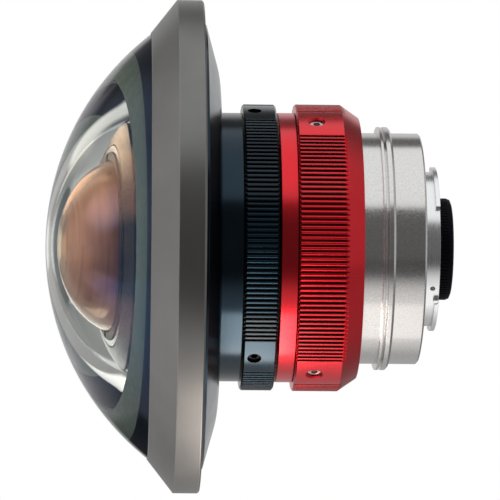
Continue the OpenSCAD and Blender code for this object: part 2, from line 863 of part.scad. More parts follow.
module iris_actuator() {
  plate_back = actuator_plate - actuator_front_at;
  color(brass) difference() {
    turned([
      [iris_open_r + 0.8, -actuator_front_at],
      [slide_r, -actuator_front_at],
      [slide_r, -actuator_back_at],
      [barrel_bore_r - 1.8, -actuator_back_at],
      [barrel_bore_r - 1.8, plate_back],
      [iris_open_r + 0.8, plate_back]
    ]);
    for (i = [0 : blade_count - 1])
      translate([-actuator_front_at - 1, 0, 0]) rotate([0, 90, 0]) rotate([0, 0, i * blade_pitch])
        linear_extrude(height = 3) drive_slot();
    outward(drive_pin_angle, -drive_pin_at) translate([0, 0, barrel_bore_r - 3])
      cylinder(h = barrel_wall + 4, r = drive_pin_r + seat_fit);
  }
}

module rear_cell() {
  color(black) turned([
    [rear_lip_r, -rear_cell_front_at],
    [barrel_bore_r - seat_fit, -rear_cell_front_at],
    [barrel_bore_r - seat_fit, -rear_cell_step_at],
    [rear_tube_r, -rear_cell_step_at],
    [rear_tube_r, rear_tube_end],
    [rear_bore_r, rear_tube_end],
    [rear_bore_r, sag(rear_first_front_r, rear_lip_r) - rear_first_at - 0.05],
    [rear_lip_r, sag(rear_first_front_r, rear_lip_r) - rear_first_at - 0.05]
  ]);
}

module rear_first_element() {
  color(glass) double_convex(-rear_first_at, rear_first_front_r, rear_first_thick - rear_first_at,
    rear_first_back_r, rear_edge_r);
}

module rear_front_spacer() {
  front = rear_first_thick - rear_first_at - sag(rear_first_back_r, rear_spacer_r) + 0.05;
  back = sag(rear_pair_front_r, rear_spacer_r) - rear_pair_at - 0.05;
  color(black) pipe(front, back, rear_edge_r, rear_spacer_r);
}

module rear_pair_front_element() {
  color(glass) double_convex(-rear_pair_at, rear_pair_front_r, rear_pair_front_thick - rear_pair_at,
    rear_pair_glue_r, rear_edge_r);
}

module rear_pair_back_element() {
  glue = rear_pair_front_thick - rear_pair_at + cement_gap;
  color(glass)
    back_meniscus(glue, rear_pair_glue_r, glue + rear_pair_back_thick, rear_pair_back_r, rear_edge_r);
}

module rear_back_spacer() {
  apex = rear_pair_front_thick - rear_pair_at + cement_gap + rear_pair_back_thick;
  front = apex - sag(rear_pair_back_r, rear_spacer_r) + 0.05;
  back = sag(rear_last_front_r, rear_spacer_r) - rear_last_at - 0.05;
  color(black) pipe(front, back, rear_edge_r, rear_spacer_r);
}

module rear_last_element() {
  color(glass) double_convex(-rear_last_at, rear_last_front_r, rear_last_thick - rear_last_at,
    rear_last_back_r, rear_edge_r);
}

module rear_lens_ring() {
  seat = rear_last_thick - rear_last_at - sag(rear_last_back_r, rear_ring_lip_r) + 0.06;
  color(black) difference() {
    turned([
      [rear_tube_r + seat_fit, rear_ring_start],
      [rear_ring_r, rear_ring_start],
      [rear_ring_r, rear_ring_end - 1],
      [rear_ring_r - 0.3, rear_ring_end - 0.3],
      [rear_ring_r - 1, rear_ring_end],
      [rear_ring_lip_r + 2.2, rear_ring_end],
      [rear_ring_lip_r, seat + 0.8],
      [rear_ring_lip_r, seat],
      [rear_tube_r + seat_fit, seat]
    ]);
    for (i = [0 : rear_ring_grooves - 1])
      outward(i * 360 / rear_ring_grooves, 0) translate([rear_ring_start + 0.8, -0.14, rear_ring_r - 0.18])
        cube([rear_ring_end - rear_ring_start - 2, 0.28, 1]);
  }
}

module rear_baffle() {
  color(black) turned([
    [rear_tube_r + 0.3, baffle_start],
    [tube_bore_r - seat_fit, baffle_start],
    [tube_bore_r - seat_fit, baffle_end],
    [tube_bore_r - baffle_thick, baffle_end],
    [tube_bore_r - baffle_thick, baffle_start + baffle_thick],
    [rear_tube_r + 0.3, baffle_start + baffle_thick]
  ]);
}

module mount_sleeve() {
  color(silver) turned([
    [barrel_r + seat_fit, -sleeve_front_at],
    [mount_r, -sleeve_front_at],
    [mount_r, -lip_front_at],
    [rib_r, -lip_front_at],
    [rib_r, -lip_back_at],
    [sleeve_spigot_r, -lip_back_at],
    [sleeve_spigot_r, -sleeve_spigot_back_at],
    [sleeve_bore_r, -sleeve_spigot_back_at],
    [sleeve_bore_r, -barrel_back_at + 0.1],
    [barrel_r + seat_fit, -barrel_back_at + 0.1]
  ]);
}

module mount_barrel() {
  color(silver) difference() {
    turned([
      [sleeve_spigot_r + seat_fit, -rib_front_at],
      [rib_r, -rib_front_at],
      [rib_r, -rib_back_at - 0.5],
      [rib_r - 0.5, -rib_back_at],
      [mount_r, -rib_back_at],
      [mount_r, -mount_back_at - 0.35],
      [mount_r - 0.35, -mount_back_at],
      [flange_r + seat_fit, -mount_back_at],
      [flange_r + seat_fit, -flange_thick],
      [web_bore_r, -flange_thick],
      [web_bore_r, -web_front_at],
      [sleeve_spigot_r + seat_fit, -web_front_at]
    ]);
    for (a = flange_screw_angles)
      rotate([90 - a, 0, 0]) translate([-screw_end_at - 0.2, 0, flange_screw_circle_r]) rotate([0, 90, 0])
        cylinder(h = screw_end_at + 1, r = screw_shank_r + seat_fit);
  }
}

module bayonet_ring() {
  color(steel) difference() {
    union() {
      turned([
        [tube_bore_r, -flange_thick],
        [flange_r, -flange_thick],
        [flange_r, 0],
        [seat_inner_r, 0],
        [seat_inner_r, -relief],
        [tube_r, -relief],
        [tube_r, tube_end],
        [tube_bore_r, tube_end]
      ]);
      for (range = lug_ranges)
        rotate([0, 90, 0]) rotate([0, 0, -90 - range[1]]) rotate_extrude(angle = range[1] - range[0])
          translate([tube_r - 0.5, tube_end - lug_thick]) square([lug_r - tube_r + 0.5, lug_thick]);
    }
    for (a = flange_screw_angles)
      rotate([90 - a, 0, 0]) translate([0, 0, flange_screw_circle_r]) rotate([0, 90, 0]) {
        translate([0, 0, -flange_thick - 1]) cylinder(h = 4, r = screw_shank_r + seat_fit);
        translate([0, 0, -0.9]) cylinder(h = 0.95, r1 = screw_shank_r, r2 = screw_head_r + 0.1);
      }
    rotate([90 - lock_hole_angle, 0, 0]) translate([-flange_thick - 1, 0, flange_screw_circle_r])
      rotate([0, 90, 0]) cylinder(h = flange_thick + 2, r = lock_hole_r);
    outward(-30, 2.2) translate([0, 0, tube_r - 1]) cylinder(h = 2, r = 0.58);
    outward(-39.8, tube_end - 0.7) translate([0, 0, tube_r - 1]) cylinder(h = 3, r = 0.55 + seat_fit);
  }
}

module bayonet_screws() {
  color(steel) for (a = flange_screw_angles)
    rotate([90 - a, 0, 0]) translate([0, 0, flange_screw_circle_r]) rotate([0, 90, 0]) difference() {
      union() {
        translate([0, 0, -screw_end_at]) cylinder(h = screw_end_at - 0.1, r = screw_shank_r);
        translate([0, 0, -0.85]) cylinder(h = 0.75, r1 = screw_shank_r, r2 = screw_head_r - 0.05);
      }
      for (turn = [0, 90])
        rotate([0, 0, turn]) translate([-1, -0.17, -0.6]) cube([2, 0.34, 1]);
    }
}

module bayonet_stop_pin() {
  color(steel) outward(-39.8, tube_end - 0.7) translate([0, 0, tube_r - 0.9]) cylinder(h = 1.8, r = 0.55);
}

front_element();
front_bezel();
dome_gasket();
front_housing();
front_baffle();
second_element();
second_retainer();
third_element();
third_retainer();
main_barrel();
focus_ring();
focus_screws();
cam_sleeve();
focus_cell();
cam_pins();
pair_front_element();
pair_back_element();
pair_retainer();
index_band();
aperture_ring();
aperture_screws();
aperture_hub();
aperture_drive_pin();
iris_retainer();
iris_base();
iris_blade_1();
iris_blade_2();
iris_blade_3();
iris_blade_4();
iris_blade_5();
iris_blade_6();
iris_actuator();
rear_cell();
rear_first_element();
rear_front_spacer();
rear_pair_front_element();
rear_pair_back_element();
rear_back_spacer();
rear_last_element();
rear_lens_ring();
rear_baffle();
mount_sleeve();
mount_barrel();
bayonet_ring();
bayonet_screws();
bayonet_stop_pin();
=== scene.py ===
# %% [markdown]
# A fisheye lens on white. Its solids come packed from the part's source as one fixed frame: the
# dome and its grey bezel, the black front housing, a black focus ring, a red band, a red aperture
# ring, a silver mount and a bayonet. This lesson keeps those solids, gives each one its finish,
# models the small pieces that only a close look shows, and sets a quiet studio round them. The
# optical axis is X, the dome looks to -X, Z is up, and every length is in metres.

# %% Load the frame
import math

import bpy
from mathutils import Matrix, Vector


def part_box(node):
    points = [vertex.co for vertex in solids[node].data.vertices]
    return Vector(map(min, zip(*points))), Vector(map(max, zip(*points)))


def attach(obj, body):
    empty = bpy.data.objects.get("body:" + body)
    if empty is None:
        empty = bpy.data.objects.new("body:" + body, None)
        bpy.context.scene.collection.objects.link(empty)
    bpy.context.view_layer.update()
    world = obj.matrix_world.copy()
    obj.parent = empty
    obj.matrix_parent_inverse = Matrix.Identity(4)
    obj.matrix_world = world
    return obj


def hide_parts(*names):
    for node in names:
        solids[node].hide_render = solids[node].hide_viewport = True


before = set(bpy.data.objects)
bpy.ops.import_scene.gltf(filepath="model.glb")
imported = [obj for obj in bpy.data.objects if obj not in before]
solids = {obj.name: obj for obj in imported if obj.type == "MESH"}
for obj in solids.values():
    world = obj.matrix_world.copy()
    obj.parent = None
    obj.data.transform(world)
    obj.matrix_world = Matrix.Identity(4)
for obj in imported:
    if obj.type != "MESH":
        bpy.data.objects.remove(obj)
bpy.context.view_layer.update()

# %% [markdown]
# A finish is a small node tree that ends in the Principled shader. Writing out every node by hand
# hides the idea behind the typing, so a few short helpers do it: one starts a finish and sets the
# values that are the same all over the surface, one adds a node and feeds its sockets, one wires
# the results to the shader, and one hands a finish to solids.

# %% Helpers for finishes
def start_finish(name, **values):
    finish = bpy.data.materials.new(name)
    finish.use_nodes = True
    shader = finish.node_tree.nodes["Principled BSDF"]
    for socket, value in values.items():
        shader.inputs[socket.replace("_", " ")].default_value = value
    return finish, finish.node_tree, shader


def feed(tree, socket, value):
    if isinstance(value, bpy.types.NodeSocket):
        tree.links.new(value, socket)
    else:
        socket.default_value = value


def put(tree, kind, *values, settings=None, **named):
    node = tree.nodes.new("ShaderNode" + kind)
    for name, value in (settings or {}).items():
        setattr(node, name, value)
    for number, value in enumerate(values):
        feed(tree, node.inputs[number], value)
    for name, value in named.items():
        feed(tree, node.inputs[name.replace("_", " ")], value)
    return node.outputs


def wire(tree, shader, **results):
    for name, result in results.items():
        tree.links.new(result, shader.inputs[name.replace("_", " ")])


def dress(finish, *names):
    for name in names:
        piece = solids[name]
        if not piece.material_slots:
            piece.data.materials.append(finish)
        for slot in piece.material_slots:
            slot.material = finish
    print(finish.name, "on", ", ".join(names))


print("helpers for finishes ready")

# %% [markdown]
# A pattern is a sum: a value is taken from the surface and then multiplied, compared, faded or used
# to mix two colours. Each of these steps is one node, and one short helper each keeps a formula
# readable. A node group could hold a whole formula, but the steps are easier to follow one by one.

# %% Helpers for sums
def maths(tree, operation, *values):
    return put(tree, "Math", *values, settings={"operation": operation})[0]


def measure(tree, operation, *places):
    return put(tree, "VectorMath", *places, settings={"operation": operation})["Value"]


def times(tree, value, *factors):
    for factor in factors:
        value = maths(tree, "MULTIPLY", value, factor)
    return value


def shade(tree, colour, factor):
    return put(tree, "VectorMath", colour, settings={"operation": "SCALE"}, Scale=factor)[0]


def spread(tree, value, low, high, start=0.3, end=0.7):
    return put(tree, "MapRange", Value=value, From_Min=start, From_Max=end,
               To_Min=low, To_Max=high)[0]


def ramp(tree, value, start, end, low=0.0, high=1.0):
    return put(tree, "MapRange", settings={"interpolation_type": "SMOOTHSTEP"}, Value=value,
               From_Min=start, From_Max=end, To_Min=low, To_Max=high)[0]


def mix_colour(tree, share, first, second):
    node = tree.nodes.new("ShaderNodeMix")
    node.data_type = "RGBA"
    for number, value in ((0, share), (6, first), (7, second)):
        feed(tree, node.inputs[number], value)
    return node.outputs[2]


print("helpers for sums ready")

# %% [markdown]
# Nearly every piece of a lens is turned on a lathe, so its marks run round the axis. The Object
# coordinates of a solid give the place of each point, and from them come three numbers that suit
# turned work: how far along the axis a point is, how far out, and how far round. Noise that is fine
# along and out but slow round draws the thin rings that a cutting tool leaves. The other way, a ring
# texture, gives lines that are too even. The Bevel node rounds the shading at sharp edges, so that
# they catch a thin line of light as real ones do.

# %% Helpers for turned marks
bevel_samples = 6


def lathe_place(tree):
    along, y, z = put(tree, "SeparateXYZ", put(tree, "TexCoord")["Object"])
    out = measure(tree, "LENGTH", put(tree, "CombineXYZ", Y=y, Z=z)[0])
    return along, out, maths(tree, "ARCTAN2", z, y)


def tool_rings(tree, rings_per_metre, marks_round):
    along, out, around = lathe_place(tree)
    vector = put(tree, "CombineXYZ", times(tree, along, rings_per_metre),
                 times(tree, out, rings_per_metre), times(tree, around, marks_round))[0]
    return put(tree, "TexNoise", Vector=vector, Scale=1.0, Detail=3.0, Roughness=0.6)[0]


def grain(tree, size, detail=2.0):
    place = put(tree, "TexCoord")["Object"]
    return put(tree, "TexNoise", Vector=place, Scale=1.0 / size, Detail=detail)[0]


def relief(tree, height, strength, distance, **below):
    return put(tree, "Bump", Height=height, Strength=strength, Distance=distance, **below)[0]


def round_edges(tree, radius):
    return put(tree, "Bevel", settings={"samples": bevel_samples}, Radius=radius)[0]


def worn_edges(tree, rounded):
    same = measure(tree, "DOT_PRODUCT", rounded, put(tree, "NewGeometry")["Normal"])
    return spread(tree, same, 0.0, 1.0, start=0.995, end=0.85)


print("helpers for turned marks ready")

# %% [markdown]
# The dome is one thick piece of optical glass: a ball's cap in front, a deep round hollow behind.
# Its flat back and its edge are painted, and that paint is what makes the corners of a real dome
# look black and the ring next to the bezel grey-green, because it touches the glass and is seen
# through it. A separate painted ring behind the glass would only show the mirror that the flat back
# makes. So the paint is part of the glass finish: where a point lies on the flat back or on the
# edge, the finish turns from clear to matt. A thin film stands for the coating that keeps
# reflections down.

# %% Finish of the dome
glass_index, film_index, paint_roughness = 1.6, 1.38, 0.6


def painted_glass(name, tint, film, back_at, edge_out, paint, dark_from, dark_paint, coating=None):
    finish, tree, shader = start_finish(name, IOR=glass_index, Thin_Film_Thickness=film,
                                        Thin_Film_IOR=film_index)
    along, out = lathe_place(tree)[:2]
    behind = maths(tree, "GREATER_THAN", along, back_at)
    beside = maths(tree, "GREATER_THAN", out, edge_out)
    painted = maths(tree, "MAXIMUM", behind, beside)
    darker = maths(tree, "GREATER_THAN", out, dark_from)
    mottle = spread(tree, grain(tree, 0.0015), 0.85, 1.15)
    paints = mix_colour(tree, darker, shade(tree, paint[:3], mottle), dark_paint)
    colour = mix_colour(tree, painted, tint, paints)
    clear = maths(tree, "SUBTRACT", 1.0, painted)
    if coating:
        colour, clear = coating(tree, colour, clear)
    wire(tree, shader, Base_Color=colour, Transmission_Weight=clear,
         Roughness=times(tree, painted, paint_roughness))
    return finish


dome_glass = painted_glass("dome_glass", tint=(0.97, 0.985, 0.98, 1), film=140.0,
                           back_at=-0.06032, edge_out=0.04998, paint=(0.115, 0.155, 0.13, 1),
                           dark_from=0.0382, dark_paint=(0.003, 0.0045, 0.0065, 1))
dress(dome_glass, "front_element")

# %% [markdown]
# The second element is a steep bowl of glass close behind the dome. Its many-layer coating throws
# back an amber light, the warm heart of the picture. A thin film alone shows that colour only where
# it happens to mirror a bright lamp, so that light is painted on as a reflection: the inside of the
# bowl turns partly matt and amber, pale at its tip and dark at its rim, with faint painted rings for
# the mirrored edges of the elements behind. This painted reflection clears near the axis, where a
# real lens lets the eye look in, and where the glass is seen at a slant. The other elements lie
# deeper and only need clear coated glass.

# %% Finish of the inner glass
bowl_centre, bowl_radius, reflection_skin = -0.0575, 0.016, 0.00003
reflection_tip, reflection_rim = (1.0, 0.66, 0.46, 1), (0.24, 0.12, 0.06, 1)
cell_black = (0.01, 0.01, 0.011, 1)


def painted_amber_reflection(tree, colour, clear):
    along, out = lathe_place(tree)[:2]
    fade = ramp(tree, along, bowl_centre - bowl_radius, bowl_centre - 0.1 * bowl_radius)
    # painted reflection: the faint rings and the amber from pale tip to dark rim stand in for light
    # the coating mirrors
    rings = spread(tree, tool_rings(tree, 700, 0.4), 0.78, 1.1)
    amber_reflection = shade(tree, mix_colour(tree, fade, reflection_tip, reflection_rim), rings)
    apart = measure(tree, "DISTANCE", put(tree, "TexCoord")["Object"], (bowl_centre, 0, 0))
    inside = maths(tree, "LESS_THAN", apart, bowl_radius + reflection_skin)
    reflection_share = ramp(tree, out, 0.003, 0.011, 0.15, 0.75)
    slant = ramp(tree, put(tree, "LayerWeight", Blend=0.5)["Facing"], 0.55, 0.97, 1.0, 0.1)
    clear = maths(tree, "SUBTRACT", clear, times(tree, inside, reflection_share, slant))
    return mix_colour(tree, inside, colour, amber_reflection), clear


amber_glass = painted_glass("amber_glass", tint=(1.0, 0.72, 0.5, 1), film=110.0, back_at=-0.05852,
                            edge_out=0.02048, paint=cell_black, dark_from=0.0,
                            dark_paint=cell_black, coating=painted_amber_reflection)
dress(amber_glass, "second_element")
lens_glass = start_finish("lens_glass", Base_Color=(0.95, 0.97, 0.96, 1), Roughness=0.0,
                          IOR=glass_index, Transmission_Weight=1.0, Thin_Film_Thickness=260.0,
                          Thin_Film_IOR=film_index)[0]
dress(lens_glass, "third_element", "pair_front_element", "pair_back_element",
      "rear_first_element", "rear_pair_front_element", "rear_pair_back_element",
      "rear_last_element")

# %% [markdown]
# The bezel is metal with a satin warm-grey finish. It is neither a mirror nor paint: it shows soft
# bands of light round the rim. A metal with a middling roughness does that, and fine tool rings in
# the bump break the bands up a little. Paint would be simpler, but it would lose the bands.

# %% Finish of the bezel
bezel_grey, tree, shader = start_finish("bezel_grey", Metallic=0.9)
rounded = round_edges(tree, 0.0003)
rings = tool_rings(tree, 9000, 3.0)
clouds = spread(tree, grain(tree, 0.012, 4.0), 0.0, 1.0)
grey = mix_colour(tree, clouds, (0.19, 0.186, 0.18, 1), (0.215, 0.21, 0.203, 1))
worn = times(tree, worn_edges(tree, rounded), 0.5)
wire(tree, shader, Base_Color=mix_colour(tree, worn, grey, (0.6, 0.59, 0.57, 1)),
     Roughness=spread(tree, rings, 0.32, 0.42),
     Normal=relief(tree, rings, 0.06, 0.0001, Normal=rounded))
dress(bezel_grey, "front_bezel")

# %% [markdown]
# Black and red anodised aluminium differ only in the dye. Under the clear skin of the oxide the
# metal still mirrors the lights in its own colour, and the skin adds a white gleam of its own. So
# one helper makes both: a coloured metal, a clear coat over it, a fine blasted grain, and edges
# rubbed a little bright. The grooves of the two grips are cut in the solids. The solids lack the
# slight round of each land, so the bump gets a wave with one crest to a land. Below the lands the
# colour turns much darker: painted shade that stands in for the shadow in each groove. The Bevel
# node would round the lands too, but on cuts this fine its few samples leave specks.

# %% Finish of the anodised rings
grooves_round, pads_round, groove_depth, crown_height = 177, 3, 0.00015, 0.00023
pad_edge = math.cos(math.radians(27.5))


def grip_marks(tree, first_pad, front, back, lands):
    along, out, around = lathe_place(tree)
    turn = maths(tree, "SUBTRACT", math.pi - math.radians(first_pad), around)
    wave = maths(tree, "COSINE", times(tree, turn, grooves_round))
    pads = maths(tree, "COSINE", times(tree, turn, pads_round))
    cut = times(tree, maths(tree, "LESS_THAN", pads, pad_edge),
                maths(tree, "GREATER_THAN", along, front), maths(tree, "LESS_THAN", along, back))
    crown = times(tree, cut, spread(tree, wave, 0.0, 1.0, start=1.0, end=-1.0))
    # the second value marks the groove floors, where painted shade goes
    return crown, times(tree, cut, maths(tree, "LESS_THAN", out, lands - groove_depth))


def anodised(name, low, high, edge, rough, coat, edge_share, grip=None):
    finish, tree, shader = start_finish(name, Metallic=1.0, Coat_Weight=coat,
                                        Coat_Roughness=0.18, Coat_IOR=1.5)
    clouds = grain(tree, 0.009, 4.0)
    ring_colour = mix_colour(tree, spread(tree, clouds, 0.0, 1.0), low, high)
    if grip:
        crown, deep = grip_marks(tree, *grip)
        # painted shade: each groove floor turns to a tenth of the low colour, standing in for the
        # shadow in the groove
        ring_colour = mix_colour(tree, times(tree, deep, 0.8), ring_colour, [0.1 * v for v in low[:3]] + [1])
        rounded = relief(tree, crown, 1.0, crown_height)
    else:
        rounded = round_edges(tree, 0.00018)
        ring_colour = mix_colour(tree, times(tree, worn_edges(tree, rounded), edge_share), ring_colour, edge)
    wire(tree, shader, Base_Color=ring_colour, Roughness=spread(tree, clouds, rough - 0.03, rough + 0.04),
         Normal=relief(tree, grain(tree, 0.00018), 0.04, 0.00006, Normal=rounded))
    return finish


black = dict(low=(0.008, 0.021, 0.034, 1), high=(0.012, 0.027, 0.041, 1),
             edge=(0.07, 0.075, 0.085, 1), rough=0.2, coat=0.32, edge_share=0.45)
red = dict(low=(0.74, 0.016, 0.028, 1), high=(0.8, 0.022, 0.034, 1),
           edge=(0.9, 0.12, 0.13, 1), rough=0.27, coat=0.4, edge_share=0.5)
focus_grip = 71, -0.0409, -0.0339, 0.0331
aperture_grip = 60, -0.0288, -0.0187, 0.0332
dress(anodised("black_anodised", **black), "front_housing")
dress(anodised("black_grip", **black, grip=focus_grip), "focus_ring")
dress(anodised("red_anodised", **red), "index_band")
dress(anodised("red_grip", **red, grip=aperture_grip), "aperture_ring")

# %% [markdown]
# The mount is bare silver metal, turned and then fine-ground. It mirrors the studio in sharp bands,
# with a slight grain that stipples the bright parts. A higher roughness would blur the bands, so the
# grain is a bump so small that it only roughens the mirror, and the tool rings stay faint.

# %% Finish of the silver mount
silver_mount, tree, shader = start_finish("silver_mount", Metallic=1.0)
stipple = grain(tree, 0.00035, 3.0)
ground = maths(tree, "ADD", times(tree, tool_rings(tree, 7000, 2.0), 0.6), stipple)
silver = mix_colour(tree, spread(tree, stipple, 0.0, 1.0), (0.66, 0.635, 0.615, 1),
                    (0.78, 0.755, 0.735, 1))
wire(tree, shader, Base_Color=silver, Roughness=spread(tree, stipple, 0.15, 0.23),
     Normal=relief(tree, ground, 0.05, 0.0001, Normal=round_edges(tree, 0.0002)))
dress(silver_mount, "mount_sleeve", "mount_barrel")

# %% [markdown]
# The bayonet is chromed brass and is polished brighter than the barrel in front of it, because it
# slides in the camera at every change of lens. The silver of the mount would do from afar, but a
# paler, smoother metal with thin rub marks round the axis sets it apart.

# %% Finish of the bayonet
bayonet_chrome, tree, shader = start_finish("bayonet_chrome", Metallic=1.0)
rubs = tool_rings(tree, 12000, 1.5)
chrome = mix_colour(tree, spread(tree, rubs, 0.0, 1.0), (0.84, 0.84, 0.84, 1),
                    (0.92, 0.92, 0.92, 1))
wire(tree, shader, Base_Color=chrome, Roughness=spread(tree, rubs, 0.2, 0.3),
     Normal=round_edges(tree, 0.0001))
dress(bayonet_chrome, "bayonet_ring", "bayonet_stop_pin", "bayonet_screws")

# %% [markdown]
# The works inside are mostly out of sight, but a look into the glass or a cut model shows them. One
# black for all would do for the picture, yet they get honest finishes too: matt black where light
# must not bounce, a satin black for the baffle that shows through the dome, rubber for the gasket,
# springy black steel for the blades, bright steel for pins and screws, brass for the sleeves that
# turn on aluminium.

# %% Finishes of the works
def plain_works(name, low, high, rough, size, metallic=0.0, shine=0.5, bumps=0.1):
    finish, tree, shader = start_finish(name, Metallic=metallic, Specular_IOR_Level=shine)
    speck = grain(tree, size, 3.0)
    wire(tree, shader, Base_Color=mix_colour(tree, spread(tree, speck, 0.0, 1.0), low, high),
         Roughness=spread(tree, speck, rough - 0.05, rough + 0.05),
         Normal=relief(tree, speck, bumps, 0.00005))
    return finish


soot = (0.006, 0.007, 0.007, 1), (0.01, 0.011, 0.011, 1)
inner_black = plain_works("inner_black", *soot, rough=0.42, size=0.0003, shine=0.2)
dress(inner_black, "second_retainer", "third_retainer", "main_barrel", "focus_cell",
      "pair_retainer", "aperture_hub", "iris_retainer", "iris_base", "rear_cell",
      "rear_front_spacer", "rear_back_spacer", "rear_baffle")
baffle_satin = plain_works("baffle_satin", *soot, rough=0.29, size=0.0003, shine=0.35)
dress(baffle_satin, "front_baffle")
rear_black = plain_works("rear_black", (0.003, 0.003, 0.006, 1), (0.005, 0.005, 0.009, 1),
                         rough=0.45, size=0.0003, shine=0.05)
dress(rear_black, "rear_lens_ring")
gasket_rubber = plain_works("gasket_rubber", (0.003, 0.0045, 0.006, 1), (0.006, 0.0075, 0.009, 1),
                            rough=0.6, size=0.0004, shine=0.2, bumps=0.01)
dress(gasket_rubber, "dome_gasket")
blade_black = plain_works("blade_black", (0.03, 0.03, 0.033, 1), (0.05, 0.05, 0.054, 1),
                          rough=0.35, size=0.0006, metallic=0.8)
dress(blade_black, *[f"iris_blade_{number}" for number in range(1, 7)])
bright_steel = plain_works("bright_steel", (0.6, 0.6, 0.6, 1), (0.72, 0.72, 0.72, 1),
                           rough=0.22, size=0.0004, metallic=1.0)
dress(bright_steel, "aperture_screws", "cam_pins", "aperture_drive_pin")
black_steel = plain_works("black_steel", (0.006, 0.007, 0.009, 1), (0.012, 0.013, 0.015, 1),
                          rough=0.4, size=0.0004, metallic=0.9)
dress(black_steel, "focus_screws")
brass_works = plain_works("brass_works", (0.62, 0.47, 0.2, 1), (0.72, 0.56, 0.27, 1),
                          rough=0.28, size=0.0005, metallic=1.0)
dress(brass_works, "cam_sleeve", "iris_actuator")

# %% [markdown]
# Where the dome meets the bezel's lip a thin black bead of sealant closes the corner, and it draws
# the dark line between glass and metal. A torus would be quicker, but a bead is pressed flat. So it
# is one small round section carried right round the axis: a circle is laid in the corner, flattened
# to lie on the glass, and spun once about X.

# %% The bead round the dome
bead_out, bead_along, bead_half, bead_flat = 0.0492, -0.06226, 0.00024, 0.7
bead_corners, bead_steps, merge_within = 12, 160, 0.00001


def close_mesh():
    bpy.ops.mesh.select_all(action="SELECT")
    bpy.ops.mesh.remove_doubles(threshold=merge_within)
    bpy.ops.mesh.normals_make_consistent(inside=False)
    bpy.ops.object.mode_set(mode="OBJECT")


bpy.ops.object.select_all(action="DESELECT")
bpy.ops.mesh.primitive_circle_add(vertices=bead_corners, radius=bead_half,
                                  location=(bead_along, 0, bead_out),
                                  rotation=(math.pi / 2, 0, 0))
bead = bpy.context.object
bead.name = "dome_bead"
bpy.ops.object.transform_apply(location=True, rotation=True, scale=True)
bpy.ops.object.mode_set(mode="EDIT")
bpy.ops.mesh.select_all(action="SELECT")
bpy.ops.transform.resize(value=(bead_flat, 1, 1), center_override=(bead_along, 0, bead_out))
bpy.ops.mesh.spin(steps=bead_steps, angle=2 * math.pi, center=(0, 0, 0), axis=(1, 0, 0))
close_mesh()
bpy.ops.object.shade_smooth()
bead.data.materials.append(gasket_rubber)
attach(bead, "lens_body")
print("bead of", len(bead.data.polygons), "faces")

# %% [markdown]
# The ring that screws down on the second element has notches for a spanner with two pins. The solid
# is a plain ring, so this piece replaces it. First a circle is extruded outwards into a washer and
# then along the axis into a ring. A cylinder with its middle cut out would do as well, but that
# takes one step more.

# %% The ring on the second element
ring_low, ring_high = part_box("second_retainer")
ring_front, ring_back, ring_out = ring_low[0], ring_high[0], ring_high[2]
ring_in, spokes = 0.02062, 96
bpy.ops.object.select_all(action="DESELECT")
bpy.ops.mesh.primitive_circle_add(vertices=spokes, radius=ring_in, location=(ring_back, 0, 0),
                                  rotation=(0, math.pi / 2, 0))
holder = bpy.context.object
holder.name = "second_retainer_notched"
bpy.ops.object.transform_apply(location=True, rotation=True, scale=True)
bpy.ops.object.mode_set(mode="EDIT")
bpy.ops.mesh.select_all(action="SELECT")
bpy.ops.mesh.extrude_edges_move()
grow = ring_out / ring_in
bpy.ops.transform.resize(value=(1, grow, grow), center_override=(ring_back, 0, 0))
bpy.ops.mesh.select_all(action="SELECT")
bpy.ops.mesh.extrude_region_move(TRANSFORM_OT_translate={"value": (ring_front - ring_back, 0, 0)})
bpy.ops.object.mode_set(mode="OBJECT")
print("ring of", len(holder.data.polygons), "faces")

# %% [markdown]
# Now the inner front edge is drawn in to follow the glass, and the faces at two places are pushed in
# to make the notches. A Boolean would cut them too, but pushing faces keeps the mesh clean. Corners
# and faces are picked by where they lie.

# %% The notches
notch_half, notch_deep, lip_share, touch = 0.0018, 0.0006, 0.986, 1e-5
crease_angle = math.radians(30)


def pick(piece, what, test):
    bpy.ops.object.mode_set(mode="EDIT")
    bpy.ops.mesh.select_mode(type="VERT" if what == "vertices" else "FACE")
    bpy.ops.mesh.select_all(action="DESELECT")
    bpy.ops.object.mode_set(mode="OBJECT")
    chosen = [item for item in getattr(piece.data, what) if test(item)]
    for item in chosen:
        item.select = True
    bpy.ops.object.mode_set(mode="EDIT")
    return len(chosen)


def on_lip(corner):
    out = math.hypot(corner.co.y, corner.co.z)
    return corner.co.x < ring_front + touch and out < ring_in + touch


def in_notch(face):
    return face.center.x < ring_front + touch and abs(face.center.y) < notch_half


pick(holder, "vertices", on_lip)
bpy.ops.transform.resize(value=(1, lip_share, lip_share), center_override=(ring_front, 0, 0))
notched = pick(holder, "polygons", in_notch)
bpy.ops.mesh.extrude_region_move(TRANSFORM_OT_translate={"value": (notch_deep, 0, 0)})
close_mesh()
bpy.ops.object.shade_smooth_by_angle(angle=crease_angle)
holder.data.materials.append(inner_black)
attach(holder, "lens_body")
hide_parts("second_retainer")
print("ring with", notched, "faces pushed in")

# %% [markdown]
# The lens floats on white in the picture, so the floor is a wide pale disc a hand below it, out of
# the camera's view, and it keeps the shadow there. A square would do as well, but a disc reaches
# equally far on every side.

# %% The floor
floor_at, floor_radius, floor_corners = -0.17, 0.9, 128
bpy.ops.object.select_all(action="DESELECT")
bpy.ops.mesh.primitive_circle_add(vertices=floor_corners, radius=floor_radius, fill_type="NGON",
                                  location=(-0.04, 0, floor_at))
floor = bpy.context.object
floor.name = "studio_floor"
bpy.ops.object.transform_apply(location=True, rotation=True, scale=True)
print("floor", round(floor.dimensions.x, 2), "m across")

